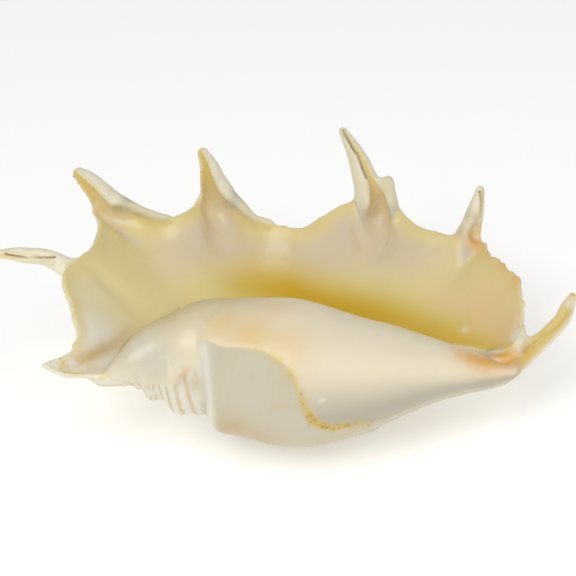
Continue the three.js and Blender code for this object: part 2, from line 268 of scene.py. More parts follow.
VALLEYS = [
    [(-112, 68, 0.6, 4), (-98, 64, 2.2, 5), (-85, 56, 1.5, 7), (-68, 45, 0, 9)],
    [(-102, 121, 3, 4), (-90.5, 116, 4.6, 5.5), (-74, 110, 3.2, 7), (-52, 99, 1.6, 9),
     (-31, 92, 0, 11)],
    [(-40, 128, 3, 5), (-37.5, 121, 4.6, 6.5), (-35.6, 112, 3.6, 8), (-32, 103, 1.6, 10),
     (-28, 92, 0, 12)],
    [(43, 122, 3, 4.5), (43.6, 114, 5, 5.5), (42, 107, 4, 6.5), (39, 97, 1.8, 8),
     (34, 86, 0, 10)],
    [(101, 91, 2.5, 4), (97, 85, 4.2, 5), (90, 78, 3, 6), (80, 69, 1.2, 8), (70, 60, 0, 9)],
    [(-117, -2, 1, 2.5), (-108.6, 1, 2.5, 3.5), (-96.4, 11, 2.5, 5), (-84, 25, 1.2, 7),
     (-76, 36, 0, 8)],
    [(33, 118, -2.2, 5), (30, 106, -2, 7), (27, 92, 0, 10)],
    [(88, 88, -1.6, 5), (82, 78, -1.2, 7), (75, 68, 0, 8)],
    [(-50, 113, -1.2, 6), (-46, 100, 0, 8)],
    [(-23, 116, -1.6, 6), (-17, 101, 0, 9)],
    [(-98, 104, -1, 6), (-84, 90, 0, 9)],
    [(60, 112, -1.2, 5), (58, 100, 0, 8)],
]
WAVE_LENGTHS = (17.0, 7.3, 4.3)
WAVE_SHARES = (0.6, 0.5, 0.4)
WAVE_SHIFT = 2.1
CALM_WAVE = 0.25
ROUGH_ROWS = [(5, 11, 0.3), (33, 43, 0.5)]
PLAN_STEP = 1.0
PLAN_LOW = (-140, -25)
PLAN_HIGH = (140, 150)


def inside_outline(x, y, outline):
    """True for each place that the closed outline goes round."""
    inside = np.zeros(np.broadcast(x, y).shape, bool)
    for (x0, y0), (x1, y1) in zip(outline, np.roll(outline, -1, 0)):
        if y0 != y1:
            crosses = (y0 > y) != (y1 > y)
            inside ^= crosses & (x < (x1 - x0) * (y - y0) / (y1 - y0) + x0)
    return inside


def distance_to_path(x, y, path):
    best = np.full(np.broadcast(x, y).shape, FAR_AWAY)
    for (x0, y0), (x1, y1) in zip(path[:-1], path[1:]):
        dx, dy = x1 - x0, y1 - y0
        t = np.clip(((x - x0) * dx + (y - y0) * dy) / (dx * dx + dy * dy), 0, 1)
        best = np.minimum(best, np.hypot(x - x0 - t * dx, y - y0 - t * dy))
    return best


def blur(table, times):
    for _ in range(times):
        padded = np.pad(table, 1, mode="edge")
        table = (padded[:-2, 1:-1] + padded[2:, 1:-1] + padded[1:-1, :-2] + padded[1:-1, 2:]
                 + 2 * table) / 6
    return table


# %% Waves and valleys of the lip
PLAN_DETAIL = 24


def wavy(edge):
    """Moves the outline in and out by small waves, which are strongest where it is chipped."""
    step = np.gradient(edge, axis=0)
    length = np.hypot(step[:, 0], step[:, 1])
    outward = np.stack([-step[:, 1], step[:, 0]], 1) / length[:, None]
    run = np.cumsum(length)
    row = np.arange(len(edge)) / PLAN_DETAIL
    rough = sum(size * smooth(a, a + 1, row) * smooth(b, b - 1, row) for a, b, size in ROUGH_ROWS)
    wave = sum(share * np.sin(2 * math.pi * run / size + WAVE_SHIFT * size)
               for size, share in zip(WAVE_LENGTHS, WAVE_SHARES))
    return edge + outward * ((CALM_WAVE + rough) * wave)[:, None]


def valley_depth(x, y, rows):
    """Depth of one soft valley along a line on the lip; a negative depth is a ridge."""
    rows = smooth_path(rows, 6)
    best = np.full(np.broadcast(x, y).shape, FAR_AWAY)
    depth = np.zeros_like(best)
    for a, b in zip(rows[:-1], rows[1:]):
        dx, dy = b[0] - a[0], b[1] - a[1]
        t = np.clip(((x - a[0]) * dx + (y - a[1]) * dy) / (dx * dx + dy * dy), 0, 1)
        gap = np.hypot(x - a[0] - t * dx, y - a[1] - t * dy)
        full, width = a[2] + t * (b[2] - a[2]), a[3] + t * (b[3] - a[3])
        depth = np.where(gap < best, full * np.exp(-(gap / width) ** 2), depth)
        best = np.minimum(best, gap)
    return depth


# %% Charts of the lip's height, thickness and distance to its edge
def lip_charts():
    plan = smooth_path(LIP_PLAN, PLAN_DETAIL)
    edge, root = plan[:, :2], plan[:, 2:]
    share = np.linspace(*SHEET_SHARES, SHEET_COLUMNS)[None, :, None]
    place = root[:, None] + (edge - root)[:, None] * share
    share = share[..., 0]
    level = EDGE_LOW + EDGE_RISE * smooth(EDGE_START_Y, EDGE_FLAT_Y, edge[:, 1:])
    bowl = np.sign(share) * np.abs(share) ** HOLLOW_POWER
    height = ROOT_LEVEL + (level - ROOT_LEVEL) * bowl
    thick = (LIP_THICKNESS + (RIM_THICKNESS - LIP_THICKNESS) * smooth(THICK_RIM_FROM, 1, share)
             + (ROOT_THICKNESS - LIP_THICKNESS) * smooth(THICK_ROOT_UNTIL, 0, share)) + 0 * height
    x = np.arange(PLAN_LOW[0], PLAN_HIGH[0], PLAN_STEP)
    y = np.arange(PLAN_LOW[1], PLAN_HIGH[1], PLAN_STEP)
    i = np.rint((place[..., 0] - x[0]) / PLAN_STEP).astype(int)
    j = np.rint((place[..., 1] - y[0]) / PLAN_STEP).astype(int)
    on_plan = (i >= 0) & (i < len(x)) & (j >= 0) & (j < len(y))
    cells = (i * len(y) + j)[on_plan]
    count = np.bincount(cells, minlength=len(x) * len(y)).reshape(len(x), len(y)).astype(float)

    def gather(values):
        total = np.bincount(cells, values[on_plan], minlength=count.size).reshape(count.shape)
        weight = np.minimum(count, 1)
        table = np.where(count > 0, total / np.maximum(count, 1), 0)
        for _ in range(SPREAD_ROUNDS):
            wide, known = blur(table * weight, 1), blur(weight, 1)
            table = np.where(weight > 0, table, wide / np.maximum(known, TINY))
            weight = np.where(known > 1e-6, 1.0, weight)
        return blur(table, SPREAD_EVENING)

    grid_x, grid_y = x[:, None], y[None, :]
    edge = wavy(edge)
    outline = np.vstack([edge, root[::-1]])
    away = distance_to_path(grid_x, grid_y, edge[::3])
    away = np.where(inside_outline(grid_x, grid_y, outline), -away, away)
    height, thick, share = gather(height), gather(thick), gather(share + 0 * height)
    height = blur(height, SHEET_EVENING)
    height += RIM_LIFT * smooth(RIM_LIFT_FROM, 1, share)
    for rows in VALLEYS:
        height -= valley_depth(grid_x, grid_y, rows)
    thick *= 1 - LOBE_THINNING * smooth(*LOBE_X, grid_x) * smooth(*LOBE_Y, grid_y)
    slope = np.hypot(*np.gradient(height, PLAN_STEP))
    steep = 1 / np.sqrt(1 + np.clip(slope, 0, STEEPEST) ** 2)
    low, step = PLAN_LOW, (PLAN_STEP, PLAN_STEP)
    return [Chart(table, low, step) for table in (height, thick, away, steep)]


LIP_HEIGHT, LIP_THICK, LIP_AWAY, LIP_STEEP = lip_charts()
print("lip rises to", round(float(LIP_HEIGHT(np.array([-3.0]), np.array([103.0]))[0]), 1), "mm")

# %% [markdown]
# ## Fingers, canal and fold
# Each finger is a tapered tube with a gutter down its open side, as the real ones are: the
# animal folds the edge of its lip and the fold closes up from the tip. The canal is the same
# thing with a deeper gutter, and the glazed fold over the spire has none.

# %% Sizes of the tubes
FINGERS = [
    [(-86, 60, -2, 2), (-98, 64, 2.6, 6.4), (-110, 68.5, 13, 6.2), (-125, 72, 21.5, 4.6),
     (-140, 73, 23.5, 4), (-150.5, 73.4, 24, 2.6)],
    [(-76, 98, 1, 2), (-87, 111, 7.5, 8), (-95, 120, 19, 8.2), (-102, 124.5, 29, 6.6),
     (-108, 127, 35, 5.4), (-112.5, 127.5, 39, 3.6)],
    [(-34, 102, 1, 2), (-36, 116, 7, 9), (-38, 127, 21, 9.2), (-41, 132, 33, 7),
     (-43, 135, 40, 5), (-46, 137, 46.5, 3)],
    [(47, 96, 1, 2), (48, 111, 7, 9), (46, 123, 21, 9.5), (42, 129, 34, 7),
     (37, 135, 46, 5), (29.5, 141, 58, 2.2)],
    [(55, 110, 18, 2), (55.5, 118, 27, 3.4), (54, 126, 36, 2)],
    [(44, 128, 30, 2.6), (49, 127, 32, 2.2), (54, 125.5, 34.5, 1.8)],
    [(-99, 123.5, 27, 4.5), (-88, 121, 23, 3.4), (-77, 116.5, 21.5, 2.2), (-66, 111.5, 21.5, 1.4)],
    [(-35, 128, 29, 3.6), (-27.5, 123, 24.4, 2.3), (-19, 111.5, 22, 1.5), (-10, 106, 22, 1.2)],
    [(92, 74, 3, 2), (95, 87, 10.5, 6.5), (97, 96, 21.5, 6.2), (100, 102, 32, 4.6),
     (102.5, 108, 41.5, 2.4)],
]
FINGER_OPEN = [(0, -1.1, 0.16), (-0.4, -1.08, -0.1), (-0.55, -0.82, 0.45), (0.5, -0.82, 0.5),
               (0, -0.8, 0.6), (0, -0.8, 0.6), (0, -0.8, 0.6), (0, -0.8, 0.6), (0.95, -0.7, 0.4)]
CHANNEL_SHARES = [
    [0, 0, 0, 0.22, 0.25, 0.22], [0.9, 0.85, 0.7, 0.58, 0.52, 0.5],
    [0.9, 0.85, 0.72, 0.52, 0.4, 0.36], [0.9, 0.75, 0.5, 0.22, 0.14, 0.12],
    None, None, None, None, [0, 0, 0.5, 0.26, 0.16],
]
CHANNEL_SINK = 1.4
CHANNEL_OUT = 1.04
CHANNEL_IN = 0.55
CHANNEL_BEYOND = 4
CHANNEL_TWIST = [0, 0.25, 0.8, 1, 1, 1]
SHEET_UP = (0, -0.45, 0.9)
TUBE_REACH = 8
CANAL = [(88, 3, -6, 4), (100, 6, -3, 8.2), (111, 9, -2, 7.2), (119, 12.6, 0, 5.8),
         (128, 19.5, 3.6, 5.0), (136, 26.5, 7.4, 4.5), (142, 32.4, 11.4, 4.3), (145, 38, 15, 3.9),
         (147.5, 42, 19, 2)]
CANAL_OPEN = (-0.1, -0.6, 0.8)
CANAL_GUTTER = 0.72
CANAL_GUTTER_TURN = 0.62
CANAL_MOUTH = [(80, 25, 5, 7), (92, 16, 3.5, 5.6), (102, 9, 3.5, 4.6), (110, 7.5, 4.5, 3.6),
               (118, 10, 6.5, 2.6)]
FOLD = [(-94, -3, -1, 2), (-89, -2, 1, 4.5), (-80, 1, 5, 9.3), (-67, 7.5, 8, 15),
        (-52, 9, 8.5, 22), (-40, 10, 8, 26), (-26, 8, 6, 26)]


class Tube:
    """A tapered tube along points, with a gutter down the side that faces 'towards'."""

    def __init__(self, rows, towards=(0, 0, 1), gutter=0.0, half_turn=0.5, steps=7):
        rows = smooth_path(rows, steps)
        self.start, self.end = rows[:-1, :3], rows[1:, :3]
        self.half = rows[:, 3]
        step = self.end - self.start
        self.step = step
        self.length = np.linalg.norm(step, axis=1)
        forward = step / self.length[:, None]
        towards = np.asarray(towards, float)
        side = towards - (forward @ towards)[:, None] * forward
        self.open = side / np.linalg.norm(side, axis=1)[:, None]
        self.across = np.cross(forward, self.open)
        self.gutter, self.half_turn = gutter, half_turn
        reach = self.half.max() + TUBE_REACH
        self.low = rows[:, :3].min(0) - reach
        self.high = rows[:, :3].max(0) + reach

    def near(self, points):
        return np.all((points > self.low) & (points < self.high), axis=1)

    def read(self, points):
        """For each point: its distance to the tube, its turn from the gutter, and its share of
        the way along the tube."""
        best = np.full(len(points), FAR_AWAY)
        index = np.zeros(len(points), int)
        share = np.zeros(len(points))
        for i in range(len(self.start)):
            away = points - self.start[i]
            t = np.clip(away @ self.step[i] / self.length[i] ** 2, 0, 1)
            away -= t[:, None] * self.step[i]
            gap = np.einsum("ij,ij->i", away, away)
            closer = gap < best
            best[closer], share[closer], index[closer] = gap[closer], t[closer], i
        away = points - self.start[index] - share[:, None] * self.step[index]
        half = self.half[index] * (1 - share) + self.half[index + 1] * share
        up = np.einsum("ij,ij->i", away, self.open[index])
        side = np.einsum("ij,ij->i", away, self.across[index])
        turn = np.arctan2(np.abs(side), up)
        radius = half * (1 - self.gutter * np.exp(-(turn / self.half_turn) ** 2))
        return np.sqrt(best) - radius, turn, (index + share) / len(self.start)


def channel_rows(rows, towards, shares):
    """A thinner tube that runs inside the open side of a finger and out through its tip."""
    rows = np.array(rows, float)
    middle = rows[:, :3]
    forward = np.gradient(middle, axis=0)
    forward /= np.linalg.norm(forward, axis=1)[:, None]
    twist = np.array(CHANNEL_TWIST[:len(rows)])[:, None]
    towards = np.array(SHEET_UP) * (1 - twist) + np.array(towards) * twist
    side = towards - np.einsum("ij,ij->i", forward, towards)[:, None] * forward
    side /= np.linalg.norm(side, axis=1)[:, None]
    rows[0, 3] = rows[1, 3]
    half = rows[:, 3] * shares
    place = middle + side * (rows[:, 3] * (CHANNEL_OUT - CHANNEL_IN * np.asarray(shares)))[:, None]
    sheet = LIP_HEIGHT(middle[:2, 0], middle[:2, 1])
    place[:2] = np.column_stack([middle[:2, :2], sheet + half[:2] - (0, CHANNEL_SINK)])
    rows = np.column_stack([place, half])[np.array(shares) > 0]
    last = rows[-1] - rows[-2]
    beyond = rows[-1] + last * (CHANNEL_BEYOND / np.linalg.norm(last[:3]))
    beyond[3] = rows[-1, 3]
    return np.vstack([rows, beyond])


FINGER_TUBES = [Tube(rows) for rows in FINGERS]
CHANNEL_TUBES = [Tube(channel_rows(rows, towards, shares))
                 for rows, towards, shares in zip(FINGERS, FINGER_OPEN, CHANNEL_SHARES) if shares]
CANAL_TUBE = Tube(CANAL, CANAL_OPEN, CANAL_GUTTER, CANAL_GUTTER_TURN)
MOUTH_TUBE = Tube(CANAL_MOUTH)
FOLD_TUBE = Tube(FOLD)

# %% [markdown]
# ## The opening and the knobs
# The hollow of the opening follows the winding of the whorl, so it is a range of radius and
# of turn about the axis. The knobs on the back are blunt lumps. The shell lies on them, and
# they are worn flat where it does.

# %% Sizes of the opening and the knobs
HOLLOW_X = [-44, -38, -30, -18, 0, 20, 40, 60, 78, 90, 96, 100]
HOLLOW_IN = [37.5, 35, 35.5, 36, 35.5, 32, 26, 20.5, 15, 11.5, 11, 12]
HOLLOW_OUT = [38.5, 43, 48.5, 54, 57, 53, 45, 37, 29, 23.5, 18, 13]
HOLLOW_FLOOR_TURN = -52
HOLLOW_TOP_TURN = 58
HOLLOW_SWELLS_BY = -20
FLOOR_TAPER = 6
INNER_OPENS = (12, 42)
INNER_OPENS_BY = 0.32
OUTER_OPENS_FROM = -4
OUTER_OPENS_BY = 0.5
LEAST_ARC_RADIUS = 5
KNOBS = [(-20, 38, -33, 20, 15, 17), (-20, 15, -36, 16, 12, 12.5), (32, 12, -35, 20, 12, 10.5),
         (27, 33, -33, 22, 14, 12.5)]
REST_PITCH = math.radians(3.7)
REST_SHIFT = (-0.63, -52.72, 46.0)


def to_rest(points):
    """From the shell's own frame to the place where it lies, still in millimetres."""
    x, y, z = points.T
    turned = np.stack([x * math.cos(REST_PITCH) + z * math.sin(REST_PITCH), y,
                       z * math.cos(REST_PITCH) - x * math.sin(REST_PITCH)], 1)
    return turned + REST_SHIFT


# %% [markdown]
# ## One field for the whole shell
# Joining meshes with booleans leaves hard seams, and a real shell has none. So the shell is
# one distance field instead: each form says how far away it is, negative inside, and the
# forms are blended with soft minimums, whose width is the radius of the fillet.


# %% Widths of the blends
EDGE_ROUNDING = 2.0
KNOB_BLEND = 7.0
FOLD_BLEND = 6.0
FINGER_BLEND = 5.0
CANAL_BLEND = 9.0
CHANNEL_BLEND = (5.0, 1.2)
MOUTH_BLEND = (4.0, 2.0)
BLEND_SHARES = (0.1, 0.5)
FILLET_UNDER = 12
FILLET_ABOVE = 1.5
FILLET_HEIGHTS = (-3, 1)
LIP_ROLL = 3
COLUMELLA_ROLL = 11
ROLL_BEGINS = (-22, -2)
ROLL_ENDS = (50, 30)


# %% Blending forms
def soft_min(a, b, width):
    gap = np.maximum(width - np.abs(a - b), 0)
    return np.minimum(a, b) - gap * gap / (4 * width)


def soft_max(a, b, width):
    return -soft_min(-a, -b, width)


def body_field(x, radius, turn):
    skin = (radius - BODY_CHART(x, turn)) * BODY_STEEP(x, turn)
    skin = soft_max(skin, APEX_X - x, EDGE_ROUNDING)
    return soft_max(skin, x - CANAL_END_X, EDGE_ROUNDING)


def lip_field(x, y, z):
    half = LIP_THICK(x, y) / 2
    steep = LIP_STEEP(x, y)
    middle = LIP_HEIGHT(x, y) - half / steep
    past_rim = np.maximum(LIP_AWAY(x, y) / steep + half, 0)
    return np.hypot(past_rim, (z - middle) * steep) - half, z - middle


def hollow_field(x, radius, turn):
    swung = np.where(turn > 180, turn - 360, turn)
    inner = along(HOLLOW_X, HOLLOW_IN, x)
    outer = along(HOLLOW_X, HOLLOW_OUT, x)
    middle = (inner + outer) / 2
    swell = smooth(HOLLOW_FLOOR_TURN - FLOOR_TAPER, HOLLOW_SWELLS_BY, swung)
    inner *= 1 + INNER_OPENS_BY * smooth(*INNER_OPENS, swung)
    outer *= 1 + OUTER_OPENS_BY * smooth(OUTER_OPENS_FROM, HOLLOW_TOP_TURN, swung)
    inner = middle + (inner - middle) * swell
    outer = middle + (outer - middle) * swell
    arc = np.radians(1) * np.maximum(radius, LEAST_ARC_RADIUS)
    walls = soft_max(inner - radius, radius - outer, EDGE_ROUNDING)
    ends = np.maximum((HOLLOW_FLOOR_TURN - swung) * arc, (swung - HOLLOW_TOP_TURN) * arc)
    ends = np.maximum(ends, np.maximum(HOLLOW_X[0] - x, x - HOLLOW_X[-1]))
    return soft_max(walls, ends, EDGE_ROUNDING)


def add_tube(field, points, tube, width):
    near = tube.near(points)
    if near.any():
        distance = tube.read(points[near])[0]
        field[near] = soft_min(field[near], distance, width)
    return field


def cut_tube(field, points, tube, widths):
    near = tube.near(points)
    if near.any():
        distance, _, share = tube.read(points[near])
        width = widths[0] + (widths[1] - widths[0]) * smooth(*BLEND_SHARES, share)
        field[near] = soft_max(field[near], -distance, width)
    return field


# %% The whole field
def shell_field(points):
    x, y, z = points.T
    lift = z - axis_z(x)
    radius = np.hypot(y, lift)
    turn = np.degrees(np.arctan2(lift, y)) % 360
    body = body_field(x, radius, turn)
    for kx, ky, kz, rx, ry, rz in KNOBS:
        reach = np.sqrt(((x - kx) / rx) ** 2 + ((y - ky) / ry) ** 2 + ((z - kz) / rz) ** 2)
        body = soft_min(body, (reach - 1) * min(rx, ry, rz), KNOB_BLEND)
    body = add_tube(body, points, FOLD_TUBE, FOLD_BLEND)
    lip, above = lip_field(x, y, z)
    for tube in FINGER_TUBES:
        lip = add_tube(lip, points, tube, FINGER_BLEND)
    for tube in CHANNEL_TUBES:
        lip = cut_tube(lip, points, tube, CHANNEL_BLEND)
    fillet = FILLET_UNDER + (FILLET_ABOVE - FILLET_UNDER) * smooth(*FILLET_HEIGHTS, above)
    shell = soft_min(body, lip, fillet)
    swung = np.where(turn > 180, turn - 360, turn)
    rolled = smooth(*ROLL_BEGINS, swung) * smooth(*ROLL_ENDS, swung)
    roll = LIP_ROLL + (COLUMELLA_ROLL - LIP_ROLL) * rolled
    shell = soft_max(shell, -hollow_field(x, radius, turn), roll)
    shell = add_tube(shell, points, CANAL_TUBE, CANAL_BLEND)
    shell = cut_tube(shell, points, MOUTH_TUBE, MOUTH_BLEND)
    return np.maximum(shell, -to_rest(points)[:, 2])


# %% [markdown]
# ## From the field to a mesh
# A surface net puts one point in every small cube that the surface passes through, and joins
# the points of neighbouring cubes. Then each point slides along the field's slope until it
# lies on the surface, so the mesh is smoother than its cubes.

# %% Sampling and netting the field
FIELD_STEP = 1.26
BLOCK = 8
BLOCK_MARGIN = 3.0
BLOCKS_AT_ONCE = 300
FIELD_LOW = np.array([-156.0, -46.0, -56.0])
FIELD_HIGH = np.array([156.0, 148.0, 64.0])


def grid_places(counts):
    return np.stack(np.meshgrid(*[np.arange(n) for n in counts], indexing="ij"), -1).reshape(-1, 3)


def sample_field():
    """Field values on the grid, worked out only in the blocks that the surface may cross."""
    side = BLOCK * FIELD_STEP
    counts = np.ceil((FIELD_HIGH - FIELD_LOW) / side).astype(int)
    blocks = grid_places(counts)
    rough = shell_field(FIELD_LOW + (blocks + 0.5) * side)
    values = np.where(rough < 0, -side, side).astype(np.float32).reshape(counts)
    for axis in range(3):
        values = np.repeat(values, BLOCK, axis=axis)
    near = blocks[np.abs(rough) < side + BLOCK_MARGIN]
    inside_block = grid_places([BLOCK] * 3)
    for some in np.array_split(near, max(1, len(near) // BLOCKS_AT_ONCE)):
        cells = (some[:, None] * BLOCK + inside_block).reshape(-1, 3)
        values[tuple(cells.T)] = shell_field(FIELD_LOW + cells * FIELD_STEP)
    print("blocks sampled:", len(near), "of", len(blocks))
    return values


def net_surface(values):
    """One point for each mixed cell, and one four-sided face for each crossed edge."""
    inside = values < 0
    corners = [(a, b, c) for a in (0, 1) for b in (0, 1) for c in (0, 1)]
    size = [n - 1 for n in values.shape]

    def corner(table, a, b, c):
        return table[a:a + size[0], b:b + size[1], c:c + size[2]]

    count = sum(corner(inside, *place).astype(np.uint8) for place in corners)
    cells = np.argwhere((count > 0) & (count < 8))
    number = np.full(size, -1)
    number[tuple(cells.T)] = np.arange(len(cells))
    total, crossings = np.zeros((len(cells), 3)), np.zeros(len(cells))
    for a in corners:
        for b in corners:
            if sum(b) - sum(a) != 1 or min(np.subtract(b, a)) < 0:
                continue
            va = values[tuple((cells + a).T)]
            vb = values[tuple((cells + b).T)]
            crossed = (va < 0) != (vb < 0)
            t = np.where(crossed, va / np.where(crossed, va - vb, 1), 0)
            total += crossed[:, None] * (np.array(a) + t[:, None] * np.subtract(b, a))
            crossings += crossed
    places = FIELD_LOW + (cells + total / crossings[:, None]) * FIELD_STEP
    faces = []
    for axis in range(3):
        ahead = np.roll(np.eye(3, dtype=int), axis, axis=1)
        first, second, third = ahead
        start = np.argwhere(np.diff(inside, axis=axis))
        rim = [start[:, k] > 0 for k in range(3) if k != axis]
        start = start[rim[0] & rim[1]]
        quad = [number[tuple((start - move).T)]
                for move in (second * 0, second, second + third, third)]
        quad = np.stack(quad, 1)
        outward = inside[tuple(start.T)]
        quad[~outward] = quad[~outward][:, ::-1]
        faces.append(quad)
    return places, np.vstack(faces)


# %% Settling the points on the surface
LONGEST_MOVE = 0.35
LEAST_SLOPE = 0.15
SLOPE_REACH = 0.25
SETTLE_ROUNDS = 2


def field_slope(points, reach=SLOPE_REACH):
    slope = np.zeros_like(points)
    for move in ((1, 1, 1), (1, -1, -1), (-1, 1, -1), (-1, -1, 1)):
        value = shell_field(points + reach * np.array(move, float))
        slope += value[:, None] * move
    return slope / (4 * reach)


def settle(points):
    for _ in range(SETTLE_ROUNDS):
        slope = field_slope(points)
        value = shell_field(points)
        size = np.maximum(np.einsum("ij,ij->i", slope, slope), LEAST_SLOPE)
        move = (value / size)[:, None] * slope
        length = np.linalg.norm(move, axis=1)[:, None]
        points = points - move * np.minimum(1, LONGEST_MOVE * FIELD_STEP / np.maximum(length, TINY))
    return points


places, faces = net_surface(sample_field())
places = settle(places)
print("shell mesh:", len(places), "points,", 2 * len(faces), "triangles")

# %% [markdown]
# ## A Blender mesh in metres
# Blender works in metres and the construction model lies on the floor, so the points are
# turned and shifted as the model is and then scaled. Putting the place in the mesh, and
# not in the object, keeps patterns on object coordinates where they belong.

# %% The mesh object
MM = 0.001


def new_mesh_object(name, points, polygons):
    mesh = bpy.data.meshes.new(name)
    mesh.from_pydata((to_rest(points) * MM).tolist(), [], polygons.tolist())
    mesh.update()
    piece = bpy.data.objects.new(name, mesh)
    bpy.context.scene.collection.objects.link(piece)
    return piece


shell = new_mesh_object("conch", places, faces)

# %% [markdown]
# ## Where each colour lies
# A shell's colours follow how it grew: deep yellow down in the opening, a yellow rim, white
# where the outside shows, and an ochre crust along the edge of the glaze. Each of these is a
# mask on the points, worked out from the same sizes as the shape, so colour and form agree
# from every side. The material mixes its paints with these masks.
# Some masks paint shade and not the shell's colour: a greyer lower body and lower fold, the fold and
# furrow by the lobe, the fingers' narrow slits and lines on the spire.

# %% Sizes of the coloured places
YELLOW_EDGE_X = [-64, -50, -39, -26, -10, 6, 28, 49, 70, 90, 105, 112, 122]
YELLOW_EDGE_Y = [76, 88, 92, 92, 88, 84, 80, 69, 57, 41, 24, 11, 4]
YELLOW_FADE = 15
SMEAR_WIDTH = 3.2
# Painted shade: lines over the spire's whorls that follow the winding.
SPIRE_SHADE_LINES = 4
SPIRE_SHADE_FADE = (0.2, 1)
PATHS = {
    # Painted shade along the fold where the lobe meets the spire and body.
    "crease_shade": ([(-92, 4, -1), (-89, 8.5, 0), (-87, 14.5, 1.8), (-82.7, 23.4, 2.3), (-74, 36, 1.5),
                (-64, 48, 0.7)], [0.3, 0.9, 0.9, 0.8, 0.7, 0.4], 2.2),
    "crust": ([(-2, -28, 25), (4, -32.6, 20.4), (6, -34, 17), (7.5, -36, 12.9), (8, -37, 8.2),
               (10, -37.3, 2.7), (14, -36.8, -2.7), (18.6, -35.3, -7), (24.6, -33.4, -8.5),
               (31.2, -31.3, -9.5), (38.8, -28.3, -10.5), (49, -24.5, -9.6)],
              [0.1, 0.3, 0.3, 0.45, 0.5, 0.8, 1.0, 1.0, 0.9, 0.9, 0.6, 0.2], 2.6),
    "orange_band": ([(80, -1, 15), (88.3, -0.9, 12.5), (93.5, -1.2, 10.8), (100, -0.4, 8.4),
                     (106, 3, 5.5), (113, 7, 2.5), (120, 12, 3)],
                    [0, 0.5, 0.8, 0.9, 0.9, 0.8, 0.5], 6.5),
    # Painted shade: a tan band along the furrow of the lobe.
    "valley": ([(-114.4, 1.9, 0.9), (-109, 5.9, 1.8), (-102.6, 10.5, 2.9), (-95.2, 16.6, 2.8),
                (-88.3, 23.4, 3), (-82, 33.7, 3.2), (-72, 44, 2)],
               [0.6, 1.0, 1.0, 0.9, 0.6, 0.35, 0], 4.0),
    "deep": ([(-38, 84, 1), (-20, 79, 0), (0, 72, -1), (20, 64, -2), (40, 56, -3),
              (60, 46, -3), (80, 33, -3), (100, 16, 1)], [0, 0.6, 1, 1, 1, 0.8, 0.7, 0.7], 13),
}
PATCHES = {
    "spot": [(-55.6, -14, 5.2, 1.9, 1.0), (-53.2, -13.5, 8.4, 2.2, 0.5),
             (97.5, -1.7, 9.9, 1.1, 0.9), (96.3, -6.9, 7.5, 0.9, 0.8)],
    "tan": [(-28, -28, -14, 12, 0.9), (-16, -28, -21, 14, 0.7), (-47, -16, 6, 5, 0.5),
            (94, 94, 24, 5, 0.6), (97, 99, 31, 4, 0.6)],
    "orange": [(99, 89, 21, 5, 0.8), (103, 94, 24, 4, 0.9), (112, 80, 21, 8, 0.9),
               (118, 66, 21, 7, 0.9), (122, 54, 20, 6, 0.7), (-51, -13.4, 12, 2, 0.5)],
    "chalk": [(92, 37, 1, 2.0, 0.5), (118, 15, 4, 4, 0.8), (119.5, 20, 9, 5, 0.9),
              (122, 29, 11, 4, 0.6), (-112, 4, 2, 7, 0.7), (-121, 0, 2, 8, 1.0),
              (-104, 0, 1, 6, 0.8), (-96, 0, 0, 6, 0.8), (9, -35, 13.5, 1.3, 0.8),
              (17, -35, 9.6, 1.5, 0.8), (146, 39, 17, 4, 0.6)],
    "peach": [(-19, -12.5, 33, 15, 0.9), (-32, -3, 33, 12, 0.8), (-3, -20, 32, 14, 0.7),
              (-8, 6, 38, 14, 0.5)],
    "pale": [(-100, 22, 7, 18, 1.0), (-92, 10, 4, 14, 0.9),
             (-104, 45, 14, 16, 0.35)],
    "fold_warm": [(-62, 20, 22, 20, 1.0), (-50, 26, 27, 22, 1.0), (-34, 26, 32, 20, 0.8),
                  (-73, 14, 17, 12, 0.9), (-80, 3, 9, 9, 0.7)],
    # Painted shade: a greyer patch on the lower side of the fold over the spire.
    "fold_shade": [(-70, -3, 13, 14, 0.9), (-78, 0, 10, 9, 0.8)],
    "pink": [(103, 45, 4, 22, 0.8), (112, 30, 5, 16, 0.9), (84, 56, 3, 20, 0.45)],
}


